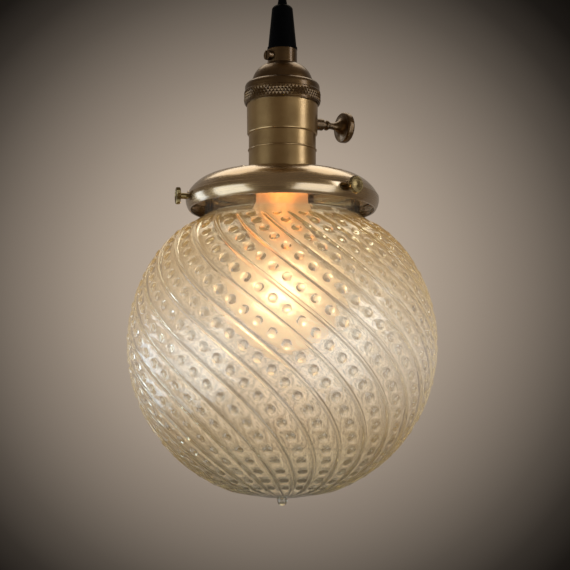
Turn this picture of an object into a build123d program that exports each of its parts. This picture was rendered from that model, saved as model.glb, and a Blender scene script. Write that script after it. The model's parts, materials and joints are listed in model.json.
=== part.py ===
from build123d import *
from math import asin, atan2, cos, degrees, radians, sin, sqrt
import os

# Pendant ceiling light: a glass globe in a brass fitter, hung by its socket from a taut cord.
# Millimetres. The origin lies on the cord's axis in the ceiling plane, +Z is up and -Y is the front.

# Clearances
thread_clearance = 0.06
running_clearance = 0.06
cord_clearance = 0.05
slip_clearance = 0.2
body_clearance = 0.3
cutter_margin = 1.0

# Ceiling canopy and its crossbar
canopy_side_gap = 7.15
canopy_depth = 24.0
canopy_wall = 1.0
canopy_bend_r = 15.0
canopy_rim_width = 2.4
canopy_rim_height = 2.0
crossbar_end_margin = 3.0
crossbar_width = 20.0
crossbar_thickness = 2.0
box_slot_spacing = 88.9
box_slot_length = 13.0
box_slot_width = 4.8
canopy_screw_spacing = 52.0
canopy_screw_r = 2.0
canopy_screw_reach = 5.0
canopy_nut_r = 5.5
canopy_nut_height = 8.0
canopy_nut_edge_r = 2.0
ground_screw_r = 1.9
ground_screw_x = 13.0
ground_head_r = 3.8
ground_head_height = 2.4

# Cord and the grip that carries it in the canopy
cord_r = 1.65
cord_free_length = 80.0
cord_head_reach = 4.0
cord_tail_reach = 2.0
grip_nose_length = 14.0
grip_flange_r = 8.0
grip_flange_height = 3.0
grip_tip_r = 4.2
grip_thread_r = 4.9
grip_nut_across_flats = 15.0
grip_nut_height = 3.0
grip_thread_spare = 1.5
swing_mouth_depth = 2.5
lead_r = 0.8
lead_bend_r = 1.5
lead_gap = 0.15
supply_lead_rise = 4.0
supply_lead_reach = 9.0
connector_r = 5.5
connector_end_r = 3.5
connector_length = 20.0
connector_y = 20.0
connector_bore_depth = 5.0

# Strain relief on the socket
relief_nozzle_length = 3.65
relief_nozzle_wall = 0.25
relief_nozzle_flare = 0.65
relief_shoulder_r = 5.3
relief_shoulder_height = 1.85
relief_shoulder_bend = 3.0
relief_body_length = 21.7
relief_base_r = 7.25
relief_lip_r = 7.6
relief_lip_height = 1.3
relief_thread_r = 4.85
relief_thread_length = 8.0

# Socket cap
cap_neck_r = 7.5
cap_neck_length = 7.15
cap_dome_height = 9.95
cap_dome_bend = 11.6
cap_wall = 0.9
cap_skirt_length = 1.6
cap_flange_width = 2.4
cap_flange_height = 1.0
set_screw_r = 1.4
set_screw_head_r = 2.6
set_screw_head_length = 2.4
set_screw_slot_width = 0.7
set_screw_slot_depth = 0.8
set_screw_drop = 3.95
set_screw_azimuth = -53.0

# Threaded collar
collar_lip_thickness = 1.6
collar_lip_flat = 0.65
collar_wall = 0.8
collar_height = 11.4
knurl_rise = 0.55
knurl_height = 5.2
knurl_base_drop = 1.0

# Socket shell, from the E26 thread of the bulb outwards
bulb_base_r = 13.05
screw_shell_wall = 0.4
lampholder_wall = 0.9
insulator_wall = 0.4
shell_wall = 0.6
shell_low_step = 0.7
shell_upper_step = 0.85
shell_upper_taper = 0.3
shell_ridge_r = 0.45
shell_upper_length = 14.9
shell_mid_length = 8.7
shell_thread_length = 7.0
lampholder_top_drop = 2.5
insulator_end_gap = 2.0
socket_depth = 26.1
terminal_x = 9.0
terminal_head_r = 3.0
terminal_head_height = 2.0
terminal_shank_r = 1.4
terminal_shank_length = 5.0
contact_strip_length = 16.0
contact_strip_width = 5.0
contact_strip_thickness = 0.5

# Turn switch, on an axis that points right and away from the front
switch_azimuth = 120.0
switch_drop = 7.5
switch_shaft_r = 1.5
bushing_boss_r = 3.05
bushing_boss_length = 5.3
bushing_thread_r = 2.6
knob_bead_length = 2.3
knob_bead_rise = 0.65
knob_waist_r = 2.0
knob_waist_length = 1.3
knob_stem_r = 1.75
knob_stem_length = 2.1
knob_disc_r = 7.9
knob_disc_thickness = 3.9
knob_disc_edge_r = 1.2
knob_bell_length = 5.6
knob_back_width = 0.2
knob_bell_bend = 6.0
knob_bore_depth = 4.4
cam_side = 6.4
cam_length = 6.0
cam_start = 4.5
cam_corner = 0.8
pocket_half_width = 5.4
pocket_half_height = 4.8
pocket_start = 3.6
pocket_floor_thickness = 4.6
leaf_thickness = 0.4
leaf_width = 4.0
leaf_length = 8.0

# Spun fitter and its ring
fitter_wall = 0.9
fitter_lip_gap = 7.3
fitter_crown_width = 16.6
fitter_crown_drop = 10.1
fitter_crease_depth = 0.6
fitter_band_bend = 8.5
fitter_rim_inset = 1.8
fitter_skirt = 5.35
fitter_crease_width = 0.5
vent_count = 10
vent_azimuth = 9.0
vent_offset = 4.0
vent_r = 4.4
fitter_ring_width = 3.8
fitter_ring_height = 4.6
screw_boss_r = 2.7
screw_boss_length = 2.2

# Thumbscrews
thumbscrew_azimuths = {"front": 42.0, "left": -78.0, "back": 162.0}
thumbscrew_shank_r = 1.52
thumbscrew_head_r = 4.25
thumbscrew_head_thickness = 2.1
thumbscrew_head_edge = 0.3
thumbscrew_stand_off = 3.25

# Glass globe
globe_r = 76.2
globe_wall = 3.0
globe_neck_r = 39.0
globe_neck_length = 12.3
globe_lip_width = 2.4
globe_lip_height = 4.0
globe_headroom = 6.0
globe_shoulder_fillet = 2.0
globe_shoulder_drop = 1.75
globe_shoulder_start = 35.0
globe_nub_r = 2.4
globe_nub_height = 3.6

# Bulb
bulb_r = 30.0
bulb_length = 110.0
bulb_wall = 0.6
bulb_neck_step = 0.15
bulb_neck_end = 33.0
bulb_contact_r = 4.8
bulb_contact_height = 1.2
bulb_insulator_r = 9.0
bulb_insulator_height = 3.2
bulb_thread_depth = 0.75
bulb_thread_pitch = 3.6
bulb_thread_count = 5
bulb_base_wall = 0.5
bulb_skirt_height = 1.2
stem_flare_height = 1.2
stem_foot_r = 5.5
stem_tip_r = 3.0
stem_length = 46.0
filament_r = 0.45
filament_loop_r = 9.0
filament_gap_angle = 70.0
filament_rise = 9.0

# Radii of the socket's layers, from the bulb's thread outwards
screw_shell_bore = bulb_base_r + body_clearance
screw_shell_r = screw_shell_bore + screw_shell_wall
lampholder_r = screw_shell_r + slip_clearance + lampholder_wall
insulator_bore = lampholder_r + slip_clearance
insulator_r = insulator_bore + insulator_wall
shell_thread_bore = insulator_r + slip_clearance
shell_thread_r = shell_thread_bore + shell_wall
shell_low_r = shell_thread_r + shell_low_step
shell_upper_low_r = shell_low_r + shell_upper_step
shell_upper_r = shell_upper_low_r + shell_upper_taper
collar_bore = shell_upper_r + thread_clearance
collar_r = collar_bore + collar_wall
knurl_r = collar_r + knurl_rise
cap_flange_r = collar_bore - body_clearance
cap_dome_r = cap_flange_r - cap_flange_width

# Radii of the cord's passages, and of the ceiling end
cord_bore = cord_r + cord_clearance
relief_tip_r = cord_bore + relief_nozzle_wall
relief_nozzle_base_r = relief_tip_r + relief_nozzle_flare
cap_bore = relief_thread_r + thread_clearance
lead_spread = lead_r + lead_gap
crossbar_length = box_slot_spacing + box_slot_length + 2 * crossbar_end_margin
canopy_r = crossbar_length / 2 + canopy_side_gap + canopy_rim_width

# Radii of the fitter, from the globe's lip outwards, and of the bulb
globe_lip_r = globe_neck_r + globe_lip_width
fitter_band_r = globe_lip_r + fitter_lip_gap
fitter_rim_r = fitter_band_r - fitter_rim_inset
fitter_crease_r = fitter_band_r - fitter_crease_depth
fitter_flat_r = fitter_crease_r - fitter_crown_width
fitter_bore = shell_thread_r + thread_clearance
vent_circle_r = fitter_flat_r + vent_offset
bulb_neck_r = bulb_base_r + bulb_neck_step

# Heights of the ceiling end and of the cord, from the ceiling plane down
canopy_floor = -canopy_depth + canopy_wall
grip_thread_top = canopy_floor + grip_nut_height + grip_thread_spare
connector_z = canopy_floor + connector_r + body_clearance
swing_pivot = -canopy_depth - grip_nose_length
cord_head_bottom = swing_pivot + cord_r + body_clearance
cord_head_top = grip_thread_top + cord_head_reach

# Heights of the socket
relief_tip = swing_pivot - cord_free_length
relief_nozzle_base = relief_tip - relief_nozzle_length
relief_shoulder = relief_nozzle_base - relief_shoulder_height
relief_bottom = relief_shoulder - relief_body_length
relief_thread_bottom = relief_bottom - relief_thread_length
cord_tail_end = relief_thread_bottom - cord_tail_reach
set_screw_z = relief_bottom - set_screw_drop
cap_neck_bottom = relief_bottom - cap_neck_length
cap_dome_bottom = cap_neck_bottom - cap_dome_height
cap_flange_top = cap_dome_bottom - cap_skirt_length
cap_flange_bottom = cap_flange_top - cap_flange_height
collar_top = cap_flange_top + collar_lip_thickness
collar_bottom = collar_top - collar_height
shell_top = cap_flange_bottom
shell_step = collar_bottom - shell_upper_length
shell_ridge = shell_step - shell_mid_length
lampholder_top = shell_top - lampholder_top_drop
terminal_head_top = lampholder_top + terminal_head_height
switch_z = collar_bottom - switch_drop
lampholder_floor = switch_z - pocket_half_height - pocket_floor_thickness
lampholder_bottom = lampholder_floor - socket_depth
shell_bottom = lampholder_bottom - insulator_end_gap

# Heights of the fitter, the globe and the bulb
fitter_top = shell_bottom + shell_thread_length + fitter_wall
globe_lip_top = fitter_top - globe_headroom
globe_lip_bottom = globe_lip_top - globe_lip_height
thumbscrew_z = globe_lip_bottom - body_clearance - thumbscrew_shank_r
fitter_rim = thumbscrew_z - fitter_skirt
globe_shoulder = globe_lip_bottom - globe_neck_length
globe_shoulder_r = globe_neck_r + globe_shoulder_fillet
globe_centre = globe_shoulder + globe_shoulder_drop - sqrt(globe_r ** 2 - globe_shoulder_r ** 2)
bulb_tip = lampholder_floor - contact_strip_thickness - body_clearance
bulb_insulator_top = bulb_tip - bulb_contact_height
bulb_insulator_low = bulb_insulator_top - bulb_insulator_height
bulb_thread_top = bulb_insulator_low - bulb_thread_pitch / 2
bulb_thread_low = bulb_thread_top - bulb_thread_count * bulb_thread_pitch
bulb_glass_top = bulb_thread_low - bulb_skirt_height
bulb_neck_low = bulb_tip - bulb_neck_end
bulb_centre = bulb_tip - bulb_length + bulb_r
stem_tip = bulb_glass_top - stem_length

# Distances along the switch's axis, from the middle of the socket
boss_end = shell_upper_r + bushing_boss_length
knob_start = boss_end + body_clearance


def outward(azimuth):
    """Horizontal unit vector at an azimuth counted from the front (-Y) towards +X."""
    return Vector(sin(radians(azimuth)), -cos(radians(azimuth)), 0)


def turned(profile):
    """Solid of revolution about Z from a closed outline of (radius, height) edges."""
    return revolve(Plane.XZ * make_face(profile), Axis.Z)


def rod(radius, low, high):
    """Upright cylinder between two heights."""
    return Pos(0, 0, (low + high) / 2) * Cylinder(radius, high - low)


def tube(radius, bore, low, high):
    """Upright pipe between two heights."""
    return rod(radius, low, high) - rod(bore, low - cutter_margin, high + cutter_margin)


def aimed(azimuth, height):
    """Frame on the lamp's axis at a height, with its Z pointing outward at an azimuth."""
    return Plane(origin=(0, 0, height), x_dir=(0, 0, 1), z_dir=outward(azimuth))


def wire(points, bend, radius):
    """Round wire along straight runs joined by bends."""
    path = FilletPolyline(*points, radius=bend)
    return sweep(Plane(path @ 0, z_dir=path % 0) * Circle(radius), path=path)


def arc_point(centre_z, radius, angle):
    """Point of a circle centred on the axis, at an angle above the level through its centre."""
    return (radius * cos(radians(angle)), centre_z + radius * sin(radians(angle)))


def canopy():
    bend_x = canopy_r - canopy_bend_r
    bend_z = -canopy_depth + canopy_bend_r
    hole_r = grip_thread_r + slip_clearance
    rim_inner = canopy_r - canopy_rim_width
    wall_inner = canopy_r - canopy_wall
    outline = Polyline((hole_r, canopy_floor), (hole_r, -canopy_depth), (bend_x, -canopy_depth))
    outline += CenterArc((bend_x, bend_z), canopy_bend_r, 270, 90)
    outline += Polyline(
        (canopy_r, bend_z),
        (canopy_r, 0),
        (rim_inner, 0),
        (rim_inner, -canopy_rim_height),
        (wall_inner, -canopy_rim_height),
        (wall_inner, bend_z),
    )
    outline += CenterArc((bend_x, bend_z), canopy_bend_r - canopy_wall, 270, 90)
    outline += Line((bend_x, canopy_floor), (hole_r, canopy_floor))
    cup = turned(outline)
    for side in (-1, 1):
        hole = rod(canopy_screw_r + body_clearance, -canopy_depth, canopy_floor)
        cup -= Pos(side * canopy_screw_spacing / 2, 0, 0) * hole
    return cup


def crossbar():
    bar = extrude(SlotOverall(crossbar_length, crossbar_width), -crossbar_thickness)
    for side in (-1, 1):
        slot = extrude(SlotOverall(box_slot_length, box_slot_width), -crossbar_thickness)
        bar -= Pos(side * box_slot_spacing / 2, 0, 0) * slot
        hole = rod(canopy_screw_r + thread_clearance, -crossbar_thickness, 0)
        bar -= Pos(side * canopy_screw_spacing / 2, 0, 0) * hole
    hole = rod(ground_screw_r + thread_clearance, -crossbar_thickness, 0)
    return bar - Pos(ground_screw_x, 0, 0) * hole


def canopy_screws():
    screw = rod(canopy_screw_r, -canopy_depth - canopy_screw_reach, 0)
    half = canopy_screw_spacing / 2
    return Part() + Pos(-half, 0, 0) * screw + Pos(half, 0, 0) * screw


def canopy_nuts():
    bottom = -canopy_depth - canopy_nut_height
    bore_end = -canopy_depth - canopy_screw_reach - body_clearance
    bore = canopy_screw_r + thread_clearance
    edge_z = bottom + canopy_nut_edge_r
    edge_x = canopy_nut_r - canopy_nut_edge_r
    outline = Polyline((bore, bore_end), (bore, -canopy_depth), (canopy_nut_r, -canopy_depth))
    outline += Line((canopy_nut_r, -canopy_depth), (canopy_nut_r, edge_z))
    outline += CenterArc((edge_x, edge_z), canopy_nut_edge_r, 270, 90)
    outline += Polyline((edge_x, bottom), (0, bottom), (0, bore_end), (bore, bore_end))
    nut = turned(outline)
    half = canopy_screw_spacing / 2
    return Part() + Pos(-half, 0, 0) * nut + Pos(half, 0, 0) * nut


def ground_screw():
    head_top = -crossbar_thickness
    head = rod(ground_head_r, head_top - ground_head_height, head_top)
    return Pos(ground_screw_x, 0, 0) * (head + rod(ground_screw_r, head_top, 0))


def ceiling_cord_grip():
    flange_bottom = -canopy_depth - grip_flange_height
    mouth_r = cord_r + body_clearance
    mouth_top = swing_pivot + swing_mouth_depth
    return turned(
        Polyline(
            (cord_bore, grip_thread_top),
            (grip_thread_r, grip_thread_top),
            (grip_thread_r, -canopy_depth),
            (grip_flange_r, -canopy_depth),
            (grip_flange_r, flange_bottom),
            (grip_tip_r, swing_pivot),
            (mouth_r, swing_pivot),
            (mouth_r, mouth_top),
            (cord_bore, mouth_top),
            close=True,
        )
    )


def cord_grip_nut():
    plate = RegularPolygon(grip_nut_across_flats / 2, 6, major_radius=False)
    nut = Pos(0, 0, canopy_floor) * extrude(plate, grip_nut_height)
    return nut - rod(grip_thread_r + thread_clearance, canopy_floor, canopy_floor + grip_nut_height)


def cord_head():
    return rod(cord_r, cord_head_bottom, cord_head_top)


def supply_lead(side):
    """Core from the cord's head, over to the mouth of its wire connector."""
    top = cord_head_top + supply_lead_rise
    mouth = connector_y + connector_bore_depth
    points = [
        (0, side * lead_spread, cord_head_top),
        (0, side * lead_spread, top),
        (0, side * supply_lead_reach, top),
        (0, side * (connector_y - supply_lead_rise), connector_z),
        (0, side * mouth, connector_z),
    ]
    return wire(points, lead_bend_r, lead_r)


def wire_connectors():
    bore = lead_r + cord_clearance
    bore_end = connector_bore_depth + body_clearance
    cone = turned(
        Polyline(
            (bore, 0),
            (connector_r, 0),
            (connector_end_r, connector_length),
            (0, connector_length),
            (0, bore_end),
            (bore, bore_end),
            close=True,
        )
    )
    group = Part()
    for side in (-1, 1):
        group += Plane(origin=(0, side * connector_y, connector_z), z_dir=(0, side, 0)) * cone
    return group


def pendant_cord():
    """Free stretch of the cord. Its top end is a ball on the point that the lamp swings about."""
    return rod(cord_r, relief_tip, swing_pivot) + Pos(0, 0, swing_pivot) * Sphere(cord_r)


def cord_strain_relief():
    lip_top = relief_bottom + relief_lip_height
    nozzle_foot = (relief_nozzle_base_r, relief_nozzle_base)
    shoulder = (relief_shoulder_r, relief_shoulder)
    outline = Polyline((cord_bore, relief_tip), (relief_tip_r, relief_tip), nozzle_foot)
    outline += RadiusArc(nozzle_foot, shoulder, relief_shoulder_bend)
    outline += Polyline(
        shoulder,
        (relief_base_r, lip_top),
        (relief_lip_r, lip_top),
        (relief_lip_r, relief_bottom),
        (relief_thread_r, relief_bottom),
        (relief_thread_r, relief_thread_bottom),
        (cord_bore, relief_thread_bottom),
        (cord_bore, relief_tip),
    )
    return turned(outline)


def cord_tail():
    return rod(cord_r, cord_tail_end, relief_tip)


def socket_cap():
    inner_r = cap_dome_r - cap_wall
    inner_top = cap_neck_bottom - cap_wall
    neck_foot = (cap_neck_r, cap_neck_bottom)
    dome_foot = (cap_dome_r, cap_dome_bottom)
    outline = Polyline((cap_bore, relief_bottom), (cap_neck_r, relief_bottom), neck_foot)
    outline += RadiusArc(neck_foot, dome_foot, cap_dome_bend)
    outline += Polyline(
        dome_foot,
        (cap_dome_r, cap_flange_top),
        (cap_flange_r, cap_flange_top),
        (cap_flange_r, cap_flange_bottom),
        (inner_r, cap_flange_bottom),
        (inner_r, cap_dome_bottom),
    )
    outline += RadiusArc((inner_r, cap_dome_bottom), (cap_bore, inner_top), -(cap_dome_bend - cap_wall))
    outline += Line((cap_bore, inner_top), (cap_bore, relief_bottom))
    hole = rod(set_screw_r + thread_clearance, cap_bore - cutter_margin, cap_neck_r + cutter_margin)
    return turned(outline) - aimed(set_screw_azimuth, set_screw_z) * hole


def cap_set_screw():
    """Slotted screw in the cap's neck, just clear of the strain relief's thread."""
    head_end = cap_neck_r + set_screw_head_length
    shank = rod(set_screw_r, cap_bore, cap_neck_r)
    head = rod(set_screw_head_r, cap_neck_r, head_end)
    slot = Box(2 * set_screw_head_r, set_screw_slot_width, set_screw_slot_depth)
    head -= Pos(0, 0, head_end - set_screw_slot_depth / 2) * slot
    return aimed(set_screw_azimuth, set_screw_z) * (shank + head)


def knurled_collar():
    lip_r = cap_dome_r + slip_clearance
    edge_x = lip_r + collar_lip_flat
    edge_r = collar_r - edge_x
    edge_z = collar_top - edge_r
    knurl_bottom = collar_bottom + knurl_base_drop
    knurl_top = knurl_bottom + knurl_height
    outline = Polyline((collar_bore, collar_bottom), (collar_bore, cap_flange_top), (lip_r, cap_flange_top))
    outline += Polyline((lip_r, cap_flange_top), (lip_r, collar_top), (edge_x, collar_top))
    outline += CenterArc((edge_x, edge_z), edge_r, 0, 90)
    outline += Polyline(
        (collar_r, edge_z),
        (collar_r, knurl_top + knurl_rise),
        (knurl_r, knurl_top),
        (knurl_r, knurl_bottom),
        (collar_r, knurl_bottom - knurl_rise),
        (collar_r, collar_bottom),
        (collar_bore, collar_bottom),
    )
    return turned(outline)


def socket_shell():
    """Drawn shell: two steps down in radius, a rolled ridge between, a thread for the fitter's ring."""
    step_low = shell_step - shell_upper_step
    ridge_high = shell_ridge + shell_ridge_r
    ridge_low = shell_ridge - shell_ridge_r
    low_bore = shell_low_r - shell_wall
    upper_bore = shell_upper_low_r - shell_wall
    top_bore = shell_upper_r - shell_wall
    outline = Line((shell_upper_r, shell_top), (shell_upper_low_r, shell_step))
    outline += CenterArc((shell_low_r, shell_step), shell_upper_step, 270, 90)
    outline += Line((shell_low_r, step_low), (shell_low_r, ridge_high))
    outline += CenterArc((shell_low_r, shell_ridge), shell_ridge_r, 270, 180)
    outline += Polyline(
        (shell_low_r, ridge_low),
        (shell_low_r, fitter_top),
        (shell_thread_r, fitter_top),
        (shell_thread_r, shell_bottom),
        (shell_thread_bore, shell_bottom),
        (shell_thread_bore, fitter_top + shell_wall),
        (low_bore, fitter_top + shell_wall),
        (low_bore, shell_step),
        (upper_bore, shell_step + shell_wall),
        (top_bore, shell_top),
        (shell_upper_r, shell_top),
    )
    hole = rod(bushing_thread_r + thread_clearance, shell_thread_bore, boss_end)
    return turned(outline) - aimed(switch_azimuth, switch_z) * hole


def shell_insulator():
    sleeve = tube(insulator_r, insulator_bore, lampholder_bottom, lampholder_top)
    hole = rod(bushing_thread_r + body_clearance, pocket_start, boss_end)
    return sleeve - aimed(switch_azimuth, switch_z) * hole


def lampholder_body():
    """Moulded body: switch pocket in its side, cavity for the screw shell below, terminals on top."""
    body = rod(lampholder_r, lampholder_bottom, lampholder_top)
    body -= rod(screw_shell_r + slip_clearance, lampholder_bottom - cutter_margin, lampholder_floor)
    pocket_length = boss_end - pocket_start
    pocket = Box(2 * pocket_half_height, 2 * pocket_half_width, pocket_length)
    body -= aimed(switch_azimuth, switch_z) * Pos(0, 0, pocket_start + pocket_length / 2) * pocket
    hole_end = lampholder_top - terminal_shank_length
    hole = rod(terminal_shank_r + thread_clearance, hole_end, lampholder_top)
    for side in (-1, 1):
        body -= Pos(side * terminal_x, 0, 0) * hole
    return body


def terminal_screws():
    shank_end = lampholder_top - terminal_shank_length + body_clearance
    screw = rod(terminal_head_r, lampholder_top, terminal_head_top)
    screw += rod(terminal_shank_r, shank_end, lampholder_top)
    return Part() + Pos(-terminal_x, 0, 0) * screw + Pos(terminal_x, 0, 0) * screw


def socket_lead(side):
    """Core from the end of the cord to the head of its terminal screw."""
    middle = (cord_tail_end + terminal_head_top) / 2
    points = [
        (side * lead_spread, 0, cord_tail_end),
        (side * lead_spread, 0, middle),
        (side * terminal_x, 0, middle),
        (side * terminal_x, 0, terminal_head_top),
    ]
    return wire(points, lead_bend_r, lead_r)


def screw_shell():
    return tube(screw_shell_r, screw_shell_bore, lampholder_bottom, lampholder_floor - slip_clearance)


def centre_contact():
    strip = Box(contact_strip_length, contact_strip_width, contact_strip_thickness)
    return Pos(0, 0, lampholder_floor - contact_strip_thickness / 2) * strip


def switch_bushing():
    bore = switch_shaft_r + running_clearance
    inner_end = insulator_r + body_clearance
    shank = tube(bushing_thread_r, bore, inner_end, shell_upper_r)
    boss = tube(bushing_boss_r, bore, shell_upper_r, boss_end)
    return aimed(switch_azimuth, switch_z) * (shank + boss)


def switch_knob():
    """Turned knob: a waist, a bead and a thin stem that flares as a bell into the disc."""
    bead = knob_start + knob_waist_length
    stem = bead + knob_bead_length
    bell = stem + knob_stem_length
    back = bell + knob_bell_length
    face = back + knob_disc_thickness
    edge_x = knob_disc_r - knob_disc_edge_r
    bell_r = edge_x - knob_back_width
    bore = switch_shaft_r + thread_clearance
    bore_end = knob_start + knob_bore_depth
    outline = Polyline(
        (0, face),
        (0, bore_end),
        (bore, bore_end),
        (bore, knob_start),
        (knob_waist_r, knob_start),
        (knob_waist_r, bead),
    )
    bead_top = (knob_waist_r + knob_bead_rise, (bead + stem) / 2)
    outline += ThreePointArc((knob_waist_r, bead), bead_top, (knob_waist_r, stem))
    outline += Polyline((knob_waist_r, stem), (knob_stem_r, stem), (knob_stem_r, bell))
    outline += RadiusArc((knob_stem_r, bell), (bell_r, back), knob_bell_bend)
    outline += Line((bell_r, back), (edge_x, back))
    outline += CenterArc((edge_x, back + knob_disc_edge_r), knob_disc_edge_r, 270, 90)
    outline += Line((knob_disc_r, back + knob_disc_edge_r), (knob_disc_r, face - knob_disc_edge_r))
    outline += CenterArc((edge_x, face - knob_disc_edge_r), knob_disc_edge_r, 0, 90)
    outline += Line((edge_x, face), (0, face))
    return aimed(switch_azimuth, switch_z) * turned(outline)


def switch_shaft():
    outer_end = knob_start + knob_bore_depth - body_clearance
    return aimed(switch_azimuth, switch_z) * rod(switch_shaft_r, cam_start, outer_end)


def switch_cam():
    block = Pos(0, 0, cam_start) * extrude(Rectangle(cam_side, cam_side), cam_length)
    block = chamfer(block.edges().filter_by(Axis.Z), cam_corner)
    block -= rod(switch_shaft_r + thread_clearance, cam_start, cam_start + cam_length)
    return aimed(switch_azimuth, switch_z) * block


def switch_leaf():
    """Contact spring on the floor of the switch pocket."""
    strip = Box(leaf_thickness, leaf_width, leaf_length)
    place = Pos(-pocket_half_height + leaf_thickness / 2, 0, cam_start + leaf_length / 2)
    return aimed(switch_azimuth, switch_z) * place * strip


def fitter_outline():
    """Closed section of the spun dish: flat top, crown, crease and the band that the screws go through."""
    crown_r = (fitter_crown_width ** 2 + fitter_crown_drop ** 2) / (2 * fitter_crown_drop)
    crown_angle = degrees(atan2(fitter_crown_width, crown_r - fitter_crown_drop))
    crown_centre = (fitter_flat_r, fitter_top - crown_r)
    inner_r = crown_r - fitter_wall
    crease = (fitter_crease_r, fitter_top - fitter_crown_drop)
    inner_crease = (
        fitter_flat_r + inner_r * sin(radians(crown_angle)),
        fitter_top - crown_r + inner_r * cos(radians(crown_angle)),
    )
    band_top = (fitter_band_r - fitter_crease_width / 2, crease[1] - fitter_crease_width)
    inner_rim = (fitter_rim_r - fitter_wall, fitter_rim)
    outline = Line((fitter_bore, fitter_top), (fitter_flat_r, fitter_top))
    outline += CenterArc(crown_centre, crown_r, 90 - crown_angle, crown_angle)
    outline += Line(crease, band_top)
    outline += RadiusArc(band_top, (fitter_rim_r, fitter_rim), fitter_band_bend)
    outline += Line((fitter_rim_r, fitter_rim), inner_rim)
    outline += RadiusArc(inner_rim, inner_crease, -(fitter_band_bend - fitter_wall))
    outline += CenterArc(crown_centre, inner_r, 90 - crown_angle, crown_angle)
    outline += Polyline(
        (fitter_flat_r, fitter_top - fitter_wall),
        (fitter_bore, fitter_top - fitter_wall),
        (fitter_bore, fitter_top),
    )
    return outline


def shade_fitter():
    dish = turned(fitter_outline())
    for azimuth in thumbscrew_azimuths.values():
        frame = aimed(azimuth, thumbscrew_z)
        face = fitter_band_r - fitter_wall / 2
        inner_end = face - fitter_wall - screw_boss_length
        dish += frame * rod(screw_boss_r, inner_end, face)
        hole = rod(thumbscrew_shank_r + running_clearance, inner_end, fitter_band_r)
        dish -= frame * hole
    vent = rod(vent_r, fitter_rim, fitter_top + cutter_margin)
    for index in range(vent_count):
        turn = vent_azimuth + index * 360 / vent_count
        dish -= Rot(0, 0, turn) * Pos(0, -vent_circle_r, 0) * vent
    return dish


def fitter_ring():
    top = fitter_top - fitter_wall
    return tube(fitter_bore + fitter_ring_width, fitter_bore, top - fitter_ring_height, top)


def thumbscrew(azimuth):
    """Knurled head on a plain shank whose tip stands just off the globe's neck, below its lip."""
    tip = globe_neck_r + body_clearance
    head_start = fitter_band_r + thumbscrew_stand_off
    head = rod(thumbscrew_head_r, head_start, head_start + thumbscrew_head_thickness)
    head = chamfer(head.edges().filter_by(GeomType.CIRCLE), thumbscrew_head_edge)
    return aimed(azimuth, thumbscrew_z) * (head + rod(thumbscrew_shank_r, tip, head_start))


def globe_outline():
    """Closed section of the globe: lip, neck, flattened shoulder, sphere and the nub at the bottom."""
    inner_r = globe_r - globe_wall
    neck_bore = globe_neck_r - globe_wall
    nub_low = globe_centre - globe_r - globe_nub_height
    nub_angle = degrees(asin(globe_nub_r / globe_r)) - 90
    shoulder_angle = degrees(atan2(globe_shoulder - globe_centre, globe_shoulder_r))
    mid_angle = (globe_shoulder_start + shoulder_angle) / 2
    mid_drop = globe_shoulder_drop / 3
    shoulder = (globe_shoulder_r, globe_shoulder)
    neck_foot = (globe_neck_r, globe_shoulder + globe_shoulder_fillet)
    inner_shoulder = (neck_bore, globe_shoulder - globe_wall / 2)
    mid = arc_point(globe_centre, globe_r - mid_drop, mid_angle)
    start = arc_point(globe_centre, globe_r, globe_shoulder_start)
    inner_start = arc_point(globe_centre, inner_r, globe_shoulder_start)
    inner_mid = arc_point(globe_centre, inner_r - mid_drop, mid_angle)
    outline = Polyline(
        (neck_bore, globe_lip_top),
        (globe_lip_r, globe_lip_top),
        (globe_lip_r, globe_lip_bottom),
        (globe_neck_r, globe_lip_bottom),
        neck_foot,
    )
    outline += RadiusArc(neck_foot, shoulder, -globe_shoulder_fillet)
    nub_top = arc_point(globe_centre, globe_r, nub_angle)
    outline += ThreePointArc(shoulder, mid, start)
    outline += ThreePointArc(start, (globe_r, globe_centre), nub_top)
    outline += Line(nub_top, (globe_nub_r, nub_low + globe_nub_r))
    outline += CenterArc((0, nub_low + globe_nub_r), globe_nub_r, 270, 90)
    outline += Line((0, nub_low), (0, globe_centre - inner_r))
    outline += ThreePointArc((0, globe_centre - inner_r), (inner_r, globe_centre), inner_start)
    outline += ThreePointArc(inner_start, inner_mid, inner_shoulder)
    outline += Line(inner_shoulder, (neck_bore, globe_lip_top))
    return outline


def glass_globe():
    return turned(globe_outline())


def bulb_outline(inset):
    """Half section of the bulb's glass, from its neck to its round end, set in by an even wall."""
    neck = bulb_neck_r - inset
    rise = bulb_neck_low - bulb_centre
    sweep_r = (bulb_neck_r ** 2 + rise ** 2 - bulb_r ** 2) / (2 * (bulb_r - bulb_neck_r))
    centre = Vector(bulb_neck_r + sweep_r, bulb_neck_low)
    ball = Vector(0, bulb_centre)
    toward = (centre - ball).normalized()
    meet = ball + toward * (bulb_r - inset)
    low = Vector(0, bulb_centre - bulb_r + inset)
    side = Vector(bulb_r - inset, bulb_centre)
    curve = Line((neck, bulb_glass_top), (neck, bulb_neck_low))
    curve += RadiusArc((neck, bulb_neck_low), meet, sweep_r + inset)
    curve += ThreePointArc(meet, side, low)
    return curve


def bulb_envelope():
    bottom = bulb_centre - bulb_r
    outline = bulb_outline(0) + bulb_outline(bulb_wall)
    outline += Line((0, bottom), (0, bottom + bulb_wall))
    outline += Line((bulb_neck_r, bulb_glass_top), (bulb_neck_r - bulb_wall, bulb_glass_top))
    return turned(outline)


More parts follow.
